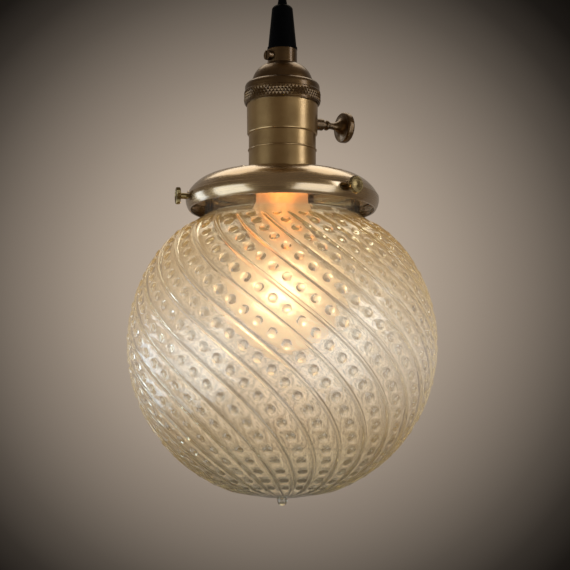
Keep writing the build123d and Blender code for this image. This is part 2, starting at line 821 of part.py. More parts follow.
def bulb_base():
    """Screw cap with rolled thread crests and a skirt that the glass stands against."""
    core = bulb_base_r - bulb_thread_depth
    bore = core - bulb_base_wall
    top_bore = bulb_insulator_r - bulb_base_wall
    outline = Polyline(
        (top_bore, bulb_insulator_low),
        (bulb_insulator_r, bulb_insulator_low),
        (core, bulb_thread_top),
    )
    for index in range(bulb_thread_count):
        high = bulb_thread_top - index * bulb_thread_pitch
        low = high - bulb_thread_pitch
        outline += ThreePointArc((core, high), (bulb_base_r, (high + low) / 2), (core, low))
    outline += Polyline(
        (core, bulb_thread_low),
        (bulb_base_r, bulb_thread_low),
        (bulb_base_r, bulb_glass_top),
        (bore, bulb_glass_top),
        (bore, bulb_thread_top),
        (top_bore, bulb_insulator_low),
    )
    return turned(outline)


def bulb_base_insulator():
    return turned(
        Polyline(
            (0, bulb_insulator_top),
            (bulb_contact_r, bulb_insulator_top),
            (bulb_insulator_r, bulb_insulator_low),
            (0, bulb_insulator_low),
            close=True,
        )
    )


def bulb_tip_contact():
    return turned(
        Polyline(
            (0, bulb_insulator_top),
            (bulb_contact_r, bulb_insulator_top),
            (bulb_contact_r - bulb_contact_height, bulb_tip),
            (0, bulb_tip),
            close=True,
        )
    )


def bulb_stem():
    """Glass mount: a flare across the neck and a stalk that carries the filament."""
    flare_r = bulb_neck_r - bulb_wall - body_clearance
    flare_low = bulb_glass_top - stem_flare_height
    return turned(
        Polyline(
            (0, bulb_glass_top),
            (flare_r, bulb_glass_top),
            (flare_r, flare_low),
            (stem_foot_r, flare_low - stem_flare_height),
            (stem_tip_r, stem_tip),
            (0, stem_tip),
            close=True,
        )
    )


def bulb_filament():
    """Open loop of wire around the stem's axis, held by two legs from the stem's tip."""
    loop_z = stem_tip - filament_rise
    half_gap = filament_gap_angle / 2
    path = CenterArc((0, 0, loop_z), filament_loop_r, 90 + half_gap, 360 - filament_gap_angle)
    wires = sweep(Plane(path @ 0, z_dir=path % 0) * Circle(filament_r), path=path)
    for side in (0, 1):
        end = path @ side
        top = Vector(end.X / filament_loop_r, end.Y / filament_loop_r, stem_tip)
        leg = Line(top, end)
        wires += sweep(Plane(leg @ 0, z_dir=leg % 0) * Circle(filament_r), path=leg)
        wires += Pos(end) * Sphere(filament_r)
    return wires - rod(filament_loop_r, stem_tip, stem_tip + filament_rise)


pieces = {
    "canopy": canopy(),
    "crossbar": crossbar(),
    "canopy_screws": canopy_screws(),
    "canopy_nuts": canopy_nuts(),
    "ground_screw": ground_screw(),
    "ceiling_cord_grip": ceiling_cord_grip(),
    "cord_grip_nut": cord_grip_nut(),
    "cord_head": cord_head(),
    "supply_live_lead": supply_lead(1),
    "supply_neutral_lead": supply_lead(-1),
    "wire_connectors": wire_connectors(),
    "pendant_cord": pendant_cord(),
    "cord_strain_relief": cord_strain_relief(),
    "cord_tail": cord_tail(),
    "socket_cap": socket_cap(),
    "cap_set_screw": cap_set_screw(),
    "knurled_collar": knurled_collar(),
    "socket_shell": socket_shell(),
    "shell_insulator": shell_insulator(),
    "lampholder_body": lampholder_body(),
    "terminal_screws": terminal_screws(),
    "live_lead": socket_lead(1),
    "neutral_lead": socket_lead(-1),
    "screw_shell": screw_shell(),
    "centre_contact": centre_contact(),
    "switch_bushing": switch_bushing(),
    "switch_knob": switch_knob(),
    "switch_shaft": switch_shaft(),
    "switch_cam": switch_cam(),
    "switch_leaf": switch_leaf(),
    "shade_fitter": shade_fitter(),
    "fitter_ring": fitter_ring(),
    "glass_globe": glass_globe(),
    "bulb_envelope": bulb_envelope(),
    "bulb_base": bulb_base(),
    "bulb_base_insulator": bulb_base_insulator(),
    "bulb_tip_contact": bulb_tip_contact(),
    "bulb_stem": bulb_stem(),
    "bulb_filament": bulb_filament(),
}
for place, azimuth in thumbscrew_azimuths.items():
    pieces[f"thumbscrew_{place}"] = thumbscrew(azimuth)

os.makedirs("parts", exist_ok=True)
for name, piece in pieces.items():
    export_step(piece, f"parts/{name}.step")
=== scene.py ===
import json
import math

import bpy
import numpy as np
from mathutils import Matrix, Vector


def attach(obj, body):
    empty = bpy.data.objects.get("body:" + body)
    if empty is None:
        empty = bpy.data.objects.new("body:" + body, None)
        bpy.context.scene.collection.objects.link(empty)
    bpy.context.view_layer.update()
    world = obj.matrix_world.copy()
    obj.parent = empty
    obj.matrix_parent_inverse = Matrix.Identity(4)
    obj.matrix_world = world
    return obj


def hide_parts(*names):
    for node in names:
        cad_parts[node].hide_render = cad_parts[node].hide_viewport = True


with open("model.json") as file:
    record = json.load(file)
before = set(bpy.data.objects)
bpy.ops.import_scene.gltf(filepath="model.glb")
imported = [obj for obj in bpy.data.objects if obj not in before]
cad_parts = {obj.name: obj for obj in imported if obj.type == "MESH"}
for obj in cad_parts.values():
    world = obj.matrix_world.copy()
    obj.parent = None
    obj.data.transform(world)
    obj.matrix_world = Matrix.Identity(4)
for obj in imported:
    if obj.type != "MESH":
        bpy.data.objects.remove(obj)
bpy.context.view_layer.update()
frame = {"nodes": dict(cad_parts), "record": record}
nodes = frame["nodes"]
scene = bpy.context.scene
scene.view_settings.view_transform = "Standard"

mm = 0.001

# Sizes of the glass that its material and its shape share, in mm.

globe_r = 76.2
globe_wall = 3.0
globe_centre = -295.58


# Camera: a long lens a little below the globe, tilted up at the lamp.

camera_place = (0.00136, -0.8615, -0.3877)
camera_tilt = math.radians(98.05)
camera_lens = 110.0


def make_camera():
    data = bpy.data.cameras.new("camera")
    data.lens = camera_lens
    data.clip_start = 0.01
    data.clip_end = 50
    camera = bpy.data.objects.new("camera", data)
    camera.location = camera_place
    camera.rotation_euler = (camera_tilt, 0, 0)
    scene.collection.objects.link(camera)
    scene.camera = camera


make_camera()


# Working helpers

def deselect():
    bpy.ops.object.select_all(action="DESELECT")


def pick(piece):
    deselect()
    piece.select_set(True)
    bpy.context.view_layer.objects.active = piece


def start_piece(name):
    """A new object that holds one vertex at the origin, left in edit mode."""
    deselect()
    bpy.ops.mesh.primitive_plane_add(size=mm, location=(0, 0, 0))
    piece = bpy.context.object
    piece.name = name
    piece.data.name = name
    bpy.ops.object.mode_set(mode="EDIT")
    bpy.ops.mesh.select_all(action="SELECT")
    bpy.ops.mesh.merge(type="CENTER")
    return piece


def draw_section(points):
    """Pulls the selected vertex through the points of a half section, given as radius and height in mm."""
    radius, height = points[0]
    bpy.ops.transform.translate(value=(0, -radius * mm, height * mm))
    for step in range(1, len(points)):
        out = points[step][0] - points[step - 1][0]
        up = points[step][1] - points[step - 1][1]
        bpy.ops.mesh.extrude_vertices_move(TRANSFORM_OT_translate={"value": (0, -out * mm, up * mm)})


def turn_section(piece, steps):
    """Turns the drawn half section once round the lamp's axis and closes the seam and the poles."""
    bpy.ops.object.mode_set(mode="OBJECT")
    lathe = piece.modifiers.new("lathe", "SCREW")
    lathe.axis = "Z"
    lathe.angle = math.tau
    lathe.steps = steps
    lathe.render_steps = steps
    lathe.use_merge_vertices = True
    lathe.merge_threshold = 1e-6
    bpy.ops.object.modifier_apply(modifier=lathe.name)
    bpy.ops.object.mode_set(mode="EDIT")
    bpy.ops.mesh.select_all(action="SELECT")
    bpy.ops.mesh.remove_doubles(threshold=1e-6)
    bpy.ops.mesh.normals_make_consistent(inside=False)
    bpy.ops.object.mode_set(mode="OBJECT")


def turned_piece(name, points, steps):
    piece = start_piece(name)
    draw_section(points)
    turn_section(piece, steps)
    return piece


def smooth(piece, angle):
    pick(piece)
    bpy.ops.object.shade_smooth_by_angle(angle=math.radians(angle))


def crisp_flats(piece):
    """Lets the large flat faces set the shading at their corners, so raised forms keep clear edges."""
    weighted = piece.modifiers.new("flats", "WEIGHTED_NORMAL")
    weighted.mode = "FACE_AREA"
    weighted.keep_sharp = True
    pick(piece)
    bpy.ops.object.modifier_apply(modifier=weighted.name)


def finish_piece(piece, material, body, slot, *replaced):
    piece.data.materials.clear()
    piece.data.materials.append(material)
    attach(piece, body)
    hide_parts(*replaced)


def points_of(piece):
    places = np.zeros(len(piece.data.vertices) * 3)
    piece.data.vertices.foreach_get("co", places)
    return places.reshape(-1, 3)


def round_axis(places):
    """How far each point lies from the lamp's axis, and how far round it in degrees, from the front."""
    radius = np.hypot(places[:, 0], places[:, 1])
    turn = np.degrees(np.arctan2(places[:, 0], -places[:, 1])) % 360
    return radius, turn


def move_points(piece, places):
    piece.data.vertices.foreach_set("co", places.astype(np.float32).ravel())
    piece.data.update()


# Materials

def new_material(name):
    material = bpy.data.materials.new(name)
    material.use_nodes = True
    shader = material.node_tree.nodes["Principled BSDF"]
    return material, material.node_tree, shader


def stretched_noise(tree, stretch, scale, detail):
    """Noise on the piece's own coordinates, stretched along the axes."""
    place = tree.nodes.new("ShaderNodeTexCoord")
    mapping = tree.nodes.new("ShaderNodeMapping")
    mapping.inputs["Scale"].default_value = stretch
    noise = tree.nodes.new("ShaderNodeTexNoise")
    noise.inputs["Scale"].default_value = scale
    noise.inputs["Detail"].default_value = detail
    tree.links.new(place.outputs["Object"], mapping.inputs["Vector"])
    tree.links.new(mapping.outputs["Vector"], noise.inputs["Vector"])
    return noise.outputs["Fac"]


def fill_ramp(ramp, stops):
    """Sets the stops of a colour ramp, each a position and a colour, in rising order."""
    marks = ramp.color_ramp.elements
    for place, (position, colour) in ((0, stops[0]), (1, stops[-1])):
        marks[place].position = position
        marks[place].color = (*colour, 1)
    for position, colour in stops[1:-1]:
        marks.new(position).color = (*colour, 1)


def colour_between(tree, value, low, high, dark, light):
    ramp = tree.nodes.new("ShaderNodeValToRGB")
    fill_ramp(ramp, ((low, dark), (high, light)))
    tree.links.new(value, ramp.inputs["Fac"])
    return ramp.outputs["Color"]


def value_between(tree, value, low, high):
    """Spreads the middle of a noise's range over the values from low to high."""
    span = tree.nodes.new("ShaderNodeMapRange")
    span.inputs["From Min"].default_value = 0.3
    span.inputs["From Max"].default_value = 0.7
    span.inputs["To Min"].default_value = low
    span.inputs["To Max"].default_value = high
    tree.links.new(value, span.inputs["Value"])
    return span.outputs["Result"]


def relief(tree, shader, value, depth, strength):
    bump = tree.nodes.new("ShaderNodeBump")
    bump.inputs["Distance"].default_value = depth
    bump.inputs["Strength"].default_value = strength
    tree.links.new(value, bump.inputs["Height"])
    tree.links.new(bump.outputs["Normal"], shader.inputs["Normal"])


ring_depth = 0.00002


def spun_metal(name, dark, light, shine, patch=70, lacquer=0.0, lacquer_shine=0.2, lacquer_bend=1.9):
    """Metal with a patina in soft patches, the fine rings that turning leaves, and a coat of lacquer."""
    material, tree, shader = new_material(name)
    shader.inputs["Metallic"].default_value = 1
    shader.inputs["Coat Weight"].default_value = lacquer
    shader.inputs["Coat Roughness"].default_value = lacquer_shine
    shader.inputs["Coat IOR"].default_value = lacquer_bend
    patina = stretched_noise(tree, (1, 1, 1), patch, 6)
    tone = colour_between(tree, patina, 0.3, 0.72, dark, light)
    tree.links.new(tone, shader.inputs["Base Color"])
    rings = stretched_noise(tree, (1, 1, 40), 60, 3)
    tree.links.new(value_between(tree, rings, *shine), shader.inputs["Roughness"])
    relief(tree, shader, rings, ring_depth, 0.35)
    return material


def moulded(name, dark, light, shine, grain, grain_scale=900, gloss=0.5):
    """Plastic, rubber or fibre: a faint change of tone and a fine grain."""
    material, tree, shader = new_material(name)
    shader.inputs["Specular IOR Level"].default_value = gloss
    cloud = stretched_noise(tree, (1, 1, 1), 120, 4)
    tree.links.new(colour_between(tree, cloud, 0.3, 0.7, dark, light), shader.inputs["Base Color"])
    tree.links.new(value_between(tree, cloud, *shine), shader.inputs["Roughness"])
    relief(tree, shader, stretched_noise(tree, (1, 1, 1), grain_scale, 4), grain, 0.4)
    return material


def clear_glass(name, tint, clearness, shine, bend):
    material, tree, shader = new_material(name)
    shader.inputs["IOR"].default_value = bend
    shader.inputs["Transmission Weight"].default_value = clearness
    wave = stretched_noise(tree, (1, 1, 1), 45, 3)
    pale = tuple(min(1.0, channel * 1.03) for channel in tint)
    tree.links.new(colour_between(tree, wave, 0.3, 0.7, tint, pale), shader.inputs["Base Color"])
    tree.links.new(value_between(tree, wave, *shine), shader.inputs["Roughness"])
    relief(tree, shader, stretched_noise(tree, (1, 1, 1), 260, 3), 0.00006, 0.3)
    return material


def light_by_height(material, heights, strength, stops):
    """Light painted into the glass as emission, standing in for the bulb's light caught in it: a glow that
    changes between two heights, given in m.
    """
    tree = material.node_tree
    shader = tree.nodes["Principled BSDF"]
    place = tree.nodes.new("ShaderNodeTexCoord")
    split = tree.nodes.new("ShaderNodeSeparateXYZ")
    height = tree.nodes.new("ShaderNodeMapRange")
    height.inputs["From Min"].default_value = heights[0]
    height.inputs["From Max"].default_value = heights[1]
    ramp = tree.nodes.new("ShaderNodeValToRGB")
    fill_ramp(ramp, stops)
    tree.links.new(place.outputs["Object"], split.inputs["Vector"])
    tree.links.new(split.outputs["Z"], height.inputs["Value"])
    tree.links.new(height.outputs["Result"], ramp.inputs["Fac"])
    tree.links.new(ramp.outputs["Color"], shader.inputs["Emission Color"])
    shader.inputs["Emission Strength"].default_value = strength


antique_brass = spun_metal("antique_brass", (0.27, 0.165, 0.062), (0.42, 0.270, 0.110), (0.28, 0.40),
                           lacquer=0.3, lacquer_shine=0.24)
fitter_brass = spun_metal("fitter_brass", (0.31, 0.192, 0.070), (0.44, 0.285, 0.118), (0.20, 0.31),
                          lacquer=1.0, lacquer_shine=0.16, lacquer_bend=2.1)
# A darker copy of the same brass for the socket cap, knob, bushing, set screw and collar: painted shade
# that keeps these parts darker than the lights alone make them.
brass_painted_shade = spun_metal("brass_painted_shade", (0.072, 0.038, 0.012), (0.145, 0.080, 0.027), (0.28, 0.40),
                        lacquer=0.24, lacquer_shine=0.20)
screw_brass = spun_metal("screw_brass", (0.16, 0.115, 0.050), (0.30, 0.225, 0.105), (0.24, 0.36), 160)
contact_brass = spun_metal("contact_brass", (0.55, 0.39, 0.17), (0.72, 0.54, 0.27), (0.25, 0.4), 200)
zinc_steel = spun_metal("zinc_steel", (0.46, 0.47, 0.48), (0.66, 0.66, 0.66), (0.25, 0.42), 240)
bulb_metal = spun_metal("bulb_metal", (0.55, 0.54, 0.50), (0.72, 0.71, 0.67), (0.3, 0.45), 260)
ground_green = moulded("ground_green", (0.02, 0.16, 0.05), (0.03, 0.22, 0.07), (0.35, 0.5), 0.00003)
black_plastic = moulded("black_plastic", (0.0004, 0.0004, 0.0005), (0.0010, 0.0010, 0.0012), (0.5, 0.65),
                        0.00005, gloss=0.03)
cord_black = moulded("cord_black", (0.0015, 0.0015, 0.0015), (0.0035, 0.003, 0.003), (0.55, 0.7),
                     0.00008, gloss=0.1)
lead_black = moulded("lead_black", (0.012, 0.012, 0.012), (0.03, 0.03, 0.03), (0.4, 0.55), 0.00003)
lead_white = moulded("lead_white", (0.66, 0.65, 0.62), (0.78, 0.77, 0.74), (0.4, 0.55), 0.00003)
connector_orange = moulded("connector_orange", (0.60, 0.16, 0.02), (0.72, 0.22, 0.03), (0.35, 0.5), 0.00003)
fibre = moulded("fibre", (0.30, 0.22, 0.13), (0.42, 0.32, 0.20), (0.7, 0.85), 0.00010, 600)
phenolic = moulded("phenolic", (0.014, 0.010, 0.008), (0.03, 0.022, 0.017), (0.3, 0.45), 0.00004)
stem_glass = clear_glass("stem_glass", (0.95, 0.95, 0.93), 1.0, (0.0, 0.03), 1.5)


# Heights in m between which light is painted into the globe, bulb and stem glass as emission.
globe_painted_glow = (-0.372, -0.233)
bulb_glow = (-0.250, -0.218)
stem_glow = (-0.262, -0.217)
haze_from = globe_r - globe_wall + 0.2
haze_to = globe_r - globe_wall + 0.8


def pressed_glass():
    """Pressed glass, olive where it is thick, with a smooth outside, a hazy inner wall and a glow painted
    on by height.
    """
    material = clear_glass("globe_glass", (0.975, 0.965, 0.93), 0.97, (0.0, 0.02), 1.5)
    tree = material.node_tree
    shader = tree.nodes["Principled BSDF"]
    place = tree.nodes.new("ShaderNodeTexCoord")
    reach = tree.nodes.new("ShaderNodeVectorMath")
    reach.operation = "DISTANCE"
    reach.inputs[1].default_value = (0, 0, globe_centre * mm)
    haze = tree.nodes.new("ShaderNodeMapRange")
    haze.inputs["From Min"].default_value = haze_from * mm
    haze.inputs["From Max"].default_value = haze_to * mm
    haze.inputs["To Min"].default_value = 0.08
    haze.inputs["To Max"].default_value = 0.01
    tree.links.new(place.outputs["Object"], reach.inputs[0])
    tree.links.new(reach.outputs["Value"], haze.inputs["Value"])
    tree.links.new(haze.outputs["Result"], shader.inputs["Roughness"])
    # Painted glow: the bulb's light scattered in the globe, painted on as emission, none at the nub and the
    # neck, peach in the middle, orange near the neck.
    light_by_height(material, globe_painted_glow, 0.16, (
        (0.0, (0.0, 0.0, 0.0)),
        (0.22, (0.30, 0.20, 0.11)),
        (0.5, (0.64, 0.53, 0.47)),
        (0.75, (0.58, 0.42, 0.28)),
        (0.97, (0.38, 0.20, 0.05)),
        (1.0, (0.0, 0.0, 0.0)),
    ))
    depth = tree.nodes.new("ShaderNodeVolumeAbsorption")
    depth.inputs["Color"].default_value = (0.80, 0.75, 0.40, 1)
    depth.inputs["Density"].default_value = 55
    tree.links.new(depth.outputs["Volume"], tree.nodes["Material Output"].inputs["Volume"])
    return material


def frosted_bulb_glass():
    """Inside-frosted glass: the filament shows through it as a soft bright patch."""
    material, tree, shader = new_material("bulb_glass")
    frost = stretched_noise(tree, (1, 1, 1), 90, 4)
    tree.links.new(value_between(tree, frost, 0.46, 0.54), shader.inputs["Roughness"])
    warm = colour_between(tree, frost, 0.3, 0.7, (0.95, 0.88, 0.76), (1.0, 0.94, 0.84))
    tree.links.new(warm, shader.inputs["Base Color"])
    shader.inputs["Transmission Weight"].default_value = 1
    shader.inputs["IOR"].default_value = 1.45
    light_by_height(material, bulb_glow, 0.26, (
        (0.0, (0.10, 0.075, 0.055)),
        (0.45, (0.20, 0.10, 0.05)),
        (1.0, (0.28, 0.10, 0.03)),
    ))
    return material


def glowing_filament():
    material, tree, shader = new_material("filament")
    heat = stretched_noise(tree, (1, 1, 1), 300, 2)
    tone = colour_between(tree, heat, 0.3, 0.7, (0.25, 0.2, 0.15), (0.4, 0.34, 0.26))
    tree.links.new(tone, shader.inputs["Base Color"])
    shader.inputs["Emission Color"].default_value = (1.0, 0.72, 0.42, 1)
    shader.inputs["Emission Strength"].default_value = 560
    return material


def painted_glow_stem_glass():
    """The clear stem inside the bulb, with an orange glow painted on as emission up to the base."""
    material = clear_glass("painted_glow_stem", (0.95, 0.93, 0.90), 0.9, (0.05, 0.12), 1.5)
    light_by_height(material, stem_glow, 0.9, (
        (0.0, (0.0, 0.0, 0.0)),
        (0.5, (0.40, 0.13, 0.03)),
        (1.0, (1.0, 0.28, 0.04)),
    ))
    return material


painted_glow_stem = painted_glow_stem_glass()
globe_glass = pressed_glass()
bulb_glass = frosted_bulb_glass()
filament = glowing_filament()

finishes = {
    "antique_brass": antique_brass,
    "screw_brass": screw_brass,
    "contact_brass": contact_brass,
    "zinc_steel": zinc_steel,
    "bulb_metal": bulb_metal,
    "ground_green": ground_green,
    "black_plastic": black_plastic,
    "cord_black": cord_black,
    "lead_black": lead_black,
    "lead_white": lead_white,
    "connector_orange": connector_orange,
    "fibre": fibre,
    "phenolic": phenolic,
    "globe_glass": globe_glass,
    "bulb_glass": bulb_glass,
    "stem_glass": stem_glass,
    "filament": filament,
}

special_finishes = {
    "shade_fitter": fitter_brass,
    "canopy": fitter_brass,
    "switch_knob": brass_painted_shade,
    "switch_bushing": brass_painted_shade,
    "socket_cap": brass_painted_shade,
    "cap_set_screw": brass_painted_shade,
    "bulb_stem": painted_glow_stem,
}


def dress_cad_nodes():
    """Every part with its own shape takes its special finish, or else the one the record names."""
    for entry in frame["record"]["subparts"]:
        piece = nodes[entry["node"]]
        finish = special_finishes.get(entry["node"], finishes[entry["material_slot"]])
        piece.data.materials.clear()
        piece.data.materials.append(finish)


dress_cad_nodes()


# Cord: held taut between the ceiling gland and the lamp.

cord_r = 1.65
cord_top = -38.0
cord_bottom = -118.0
cord_points = (cord_top, -64.0, -92.0, cord_bottom)


def make_cord():
    line = bpy.data.curves.new("pendant_cord_line", "CURVE")
    line.dimensions = "3D"
    line.bevel_depth = cord_r * mm
    line.bevel_resolution = 6
    line.resolution_u = 12
    line.use_fill_caps = True
    spline = line.splines.new("NURBS")
    spline.points.add(len(cord_points) - 1)
    for point, height in zip(spline.points, cord_points):
        point.co = (0, 0, height * mm, 1)
    spline.order_u = 3
    spline.use_endpoint_u = True
    line.materials.append(cord_black)
    cord = bpy.data.objects.new("pendant_cord_line", line)
    scene.collection.objects.link(cord)
    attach(cord, "lamp")
    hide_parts("pendant_cord")


make_cord()


# Globe: pressed glass with spiral ribs and a row of hobnails between each pair.

globe_lip_top = -216.8
globe_lip_bottom = -220.8
globe_lip_r = 41.4
globe_neck_r = 39.0
globe_shoulder = -233.1
globe_shoulder_r = 41.0
nub_r = 2.4
nub_low = -375.38
rib_count = 24
rib_turn = 360 / rib_count
rib_height = 0.85
rib_half = 1.3
rib_share = 0.16
spiral_least = 0.30
spiral_swell = 0.95
spiral_middle = 10
hobnail_r = 2.35
hobnail_height = 1.05
hobnail_pitch = 8.43
hobnail_share = 0.28
seam_latitude = -46.0
seam_height = 0.22
seam_half = 0.5
rib_phase = 10.0
phase_latitude = -7.0
pattern_top = 52.0
pattern_bottom = -79.0
top_margin = 7
bottom_margin = 9
fade = 4.0
flat_from = 35
flat_span = 21.7
flat_depth = 1.47
flat_power = 1.6
rib_columns = (0.0, 0.4, 0.75, 1.02)
hobnail_columns = (1.14, 1.0, 0.82, 0.46, 0.0)
hobnail_rows = (1.0, 0.82, 0.46, 0.0, -0.46, -0.82, -1.0)
least_row_gap = 0.12
ring_turn = 0.65
columns = 2 * (len(rib_columns) + len(hobnail_columns)) - 2


def spiral_rate(latitude):
    """Degrees that a rib turns for each degree it comes down."""
    return spiral_least + spiral_swell * np.cos(np.radians(latitude - spiral_middle)) ** 2


def spiral_turn(latitude):
    """How far a rib has turned at a latitude, from the phase latitude down."""
    def total(angle):
        wave = np.degrees(np.sin(np.radians(2 * (angle - spiral_middle))))
        return (spiral_least + spiral_swell / 2) * angle + spiral_swell / 4 * wave
    return total(phase_latitude) - total(latitude)


def rib_lean(latitude):
    """Cosine of the angle between a rib and the meridian."""
    return 1 / np.sqrt(1 + (np.cos(np.radians(latitude)) * spiral_rate(latitude)) ** 2)


def hobnail_step(latitude):
    return math.degrees(hobnail_pitch / globe_r) * float(rib_lean(latitude))


def row_length(latitude):
    """Length in mm of one degree round the globe."""
    return np.radians(1) * globe_r * np.cos(np.radians(latitude))


def rib_width(latitude):
    """Half width of a rib, less where the ribs run together."""
    return np.minimum(rib_half, rib_share * rib_turn * row_length(latitude))


def hobnail_size(latitude):
    """Radius of a hobnail, less where the ribs run together."""
    rib_gap = rib_turn * float(row_length(latitude) * rib_lean(latitude))
    return min(hobnail_r, hobnail_share * rib_gap)


def hobnail_latitudes():
    """The rows of hobnails, from the top down. One row lies on the mould seam."""
    above = [seam_latitude]
    while above[-1] < pattern_top - top_margin:
        above.append(above[-1] + hobnail_step(above[-1]))
    below = [seam_latitude]
    while below[-1] > pattern_bottom + bottom_margin:
        below.append(below[-1] - hobnail_step(below[-1]))
    return above[::-1] + below[1:]


def shoulder_radius(latitude):
    """The sphere flattens a little towards the shoulder."""
    share = np.clip((latitude - flat_from) / flat_span, 0, 1)
    return globe_r - flat_depth * share ** flat_power


def on_sphere(radius, latitude):
    angle = math.radians(latitude)
    return radius * math.cos(angle), globe_centre + radius * math.sin(angle)


def globe_section(rows):
    """Half section: up the outside from the nub, round the lip, and down the inside."""
    outside = [(0, nub_low)]
    for angle in (25, 50, 75, 90):
        turn = math.radians(angle)
        outside.append((nub_r * math.sin(turn), nub_low + nub_r * (1 - math.cos(turn))))
    for latitude in (-88.0, -86.5, -84.5):
        outside.append(on_sphere(globe_r, latitude))
    for latitude in rows[::-1]:
        outside.append(on_sphere(float(shoulder_radius(latitude)), latitude))
    neck = [
        (globe_shoulder_r - 0.65, globe_shoulder + 0.75),
        (globe_shoulder_r - 1.55, globe_shoulder + 1.5),
        (globe_neck_r, globe_shoulder + 2.7),
        (globe_neck_r, globe_shoulder + 8),
        (globe_neck_r, globe_lip_bottom - 0.3),
        (globe_neck_r + 0.35, globe_lip_bottom),
        (globe_lip_r - 0.9, globe_lip_bottom),
        (globe_lip_r - 0.2, globe_lip_bottom + 0.5),
        (globe_lip_r, globe_lip_bottom + 1.4),
        (globe_lip_r, globe_lip_top - 1.2),
        (globe_lip_r - 0.4, globe_lip_top - 0.35),
        (globe_lip_r - 1.2, globe_lip_top),
        (globe_neck_r - globe_wall + 1.0, globe_lip_top),
        (globe_neck_r - globe_wall + 0.2, globe_lip_top - 0.5),
        (globe_neck_r - globe_wall, globe_lip_top - 1.4),
        (globe_neck_r - globe_wall, globe_shoulder + 3),
        (globe_neck_r - globe_wall + 0.5, globe_shoulder - 0.5),
    ]
    inside = []
    for latitude in np.linspace(54, -82, 15):
        inside.append(on_sphere(float(shoulder_radius(latitude)) - globe_wall, latitude))
    inside.append((0, globe_centre - globe_r + globe_wall))
    return outside + neck + inside


def pattern_rows(hobnails):
    """Latitudes of the mesh rows, from the top down: across each hobnail, and one midway to the next."""
    wanted = [pattern_top + 2, pattern_bottom]
    for place, row in enumerate(hobnails):
        half = math.degrees(hobnail_size(row) / globe_r)
        wanted += [row + share * half for share in hobnail_rows]
        if place + 1 < len(hobnails):
            wanted.append((row + hobnails[place + 1]) / 2)
    rows = []
    for latitude in sorted(wanted, reverse=True):
        if not rows or rows[-1] - latitude > least_row_gap:
            rows.append(latitude)
    return rows


def raised_pattern(turn, latitude, hobnails):
    """Height of the ribs, hobnails and mould seam over the smooth sphere, in mm."""
    across = (turn - rib_phase - spiral_turn(latitude)) / rib_turn
    across = across - np.floor(across)
    from_rib = np.minimum(across, 1 - across) * rib_turn
    rib_distance = from_rib * row_length(latitude) * rib_lean(latitude)
    height = rib_height * np.clip(1 - (rib_distance / rib_width(latitude)) ** 2, 0, None)
    for row in hobnails:
        beside = (across - 0.5) * rib_turn + spiral_turn(latitude) - spiral_turn(row)
        along = np.radians(latitude - row) * globe_r
        size = hobnail_size(row)
        distance = ((beside * row_length(row)) ** 2 + along ** 2) / size ** 2
        dome = hobnail_height * size / hobnail_r * np.sqrt(np.clip(1 - distance, 0, None))
        height = np.maximum(height, dome)
    seam = seam_height * np.clip(1 - np.abs(latitude - seam_latitude) / seam_half, 0, None)
    top_fade = np.clip((pattern_top - latitude) / fade, 0, 1)
    low_fade = np.clip((latitude - pattern_bottom) / fade, 0, 1)
    return (height + seam) * top_fade * low_fade


def own_row(latitude, hobnails):
    """The row of hobnails that each latitude crosses, and whether it crosses one."""
    nearest = latitude.copy()
    crossed = np.zeros(len(latitude), bool)
    for row in hobnails:
        half = math.degrees(hobnail_size(row) / globe_r) + 0.01
        near = np.abs(latitude - row) < half
        nearest = np.where(near, row, nearest)
        crossed |= near
    return nearest, crossed


def spiral_slope(latitude):
    """Way round the globe for each way up it, along a rib."""
    way = spiral_turn(latitude + 0.5) - spiral_turn(latitude - 0.5)
    return way * row_length(latitude) / (np.radians(1) * globe_r)


def onto_rings(across, along, lean):
    """Draws a square grid onto rings, leaned with the spiral, to follow the edge of a hobnail."""
    ring = np.maximum(np.maximum(np.abs(across), np.abs(along)), 1e-6)
    ring_across = across * np.sqrt(1 - (along / ring) ** 2 / 2)
    ring_along = along * np.sqrt(1 - (across / ring) ** 2 / 2)
    turned_across = ring_across * np.cos(lean) + ring_along * np.sin(lean)
    turned_along = ring_along * np.cos(lean) - ring_across * np.sin(lean)
    return turned_across, turned_along


def twist_columns(piece, hobnails):
    """Gathers the mesh columns on the ribs and hobnails.

    Those of the ribs wind round with the spiral. Those of the hobnails step from one hobnail to the next.
    """
    places = points_of(piece) / mm
    radius, turn = round_axis(places)
    up = places[:, 2] - globe_centre
    latitude = np.degrees(np.arctan2(up, radius))
    reach = np.hypot(up, radius)
    outer = (reach > globe_r - 2.2) & (latitude < pattern_top + 2.5)
    wound = np.clip(latitude, pattern_bottom, pattern_top)
    wound = np.where(outer, wound, pattern_top)
    column = np.round(turn / (rib_turn / columns)).astype(int)
    cell = (column // columns) * rib_turn + rib_phase
    step = column % columns
    side = np.where(step > columns // 2, -1, 1)
    step = np.minimum(step, columns - step)
    on_rib = step < len(rib_columns)
    shares = np.array(rib_columns + hobnail_columns)[step]
    rib_offset = shares * rib_width(wound) / row_length(wound) / rib_lean(wound)
    rib_offset = np.where(side > 0, rib_offset, rib_turn - rib_offset)
    row, crossed = own_row(wound, hobnails)
    size = np.array([hobnail_size(place) for place in row])
    along = np.radians(wound - row) * globe_r / size
    lean = np.where(crossed, ring_turn * np.arctan(spiral_slope(row)), 0)
    ring_across, ring_along = onto_rings(-side * shares, along, lean)
    hobnail_offset = rib_turn / 2 + ring_across * size / row_length(row)
    turn = cell + np.where(on_rib, rib_offset + spiral_turn(wound), hobnail_offset + spiral_turn(row))
    on_hobnail = outer & ~on_rib & (wound == latitude)
    drawn = row + np.degrees(ring_along * size / globe_r)
    latitude = np.where(on_hobnail, drawn, latitude)
    drawn_reach = shoulder_radius(latitude)
    radius = np.where(on_hobnail, drawn_reach * np.cos(np.radians(latitude)), radius)
    height = np.where(on_hobnail, globe_centre + drawn_reach * np.sin(np.radians(latitude)), places[:, 2])
    return radius, height, turn, latitude, outer


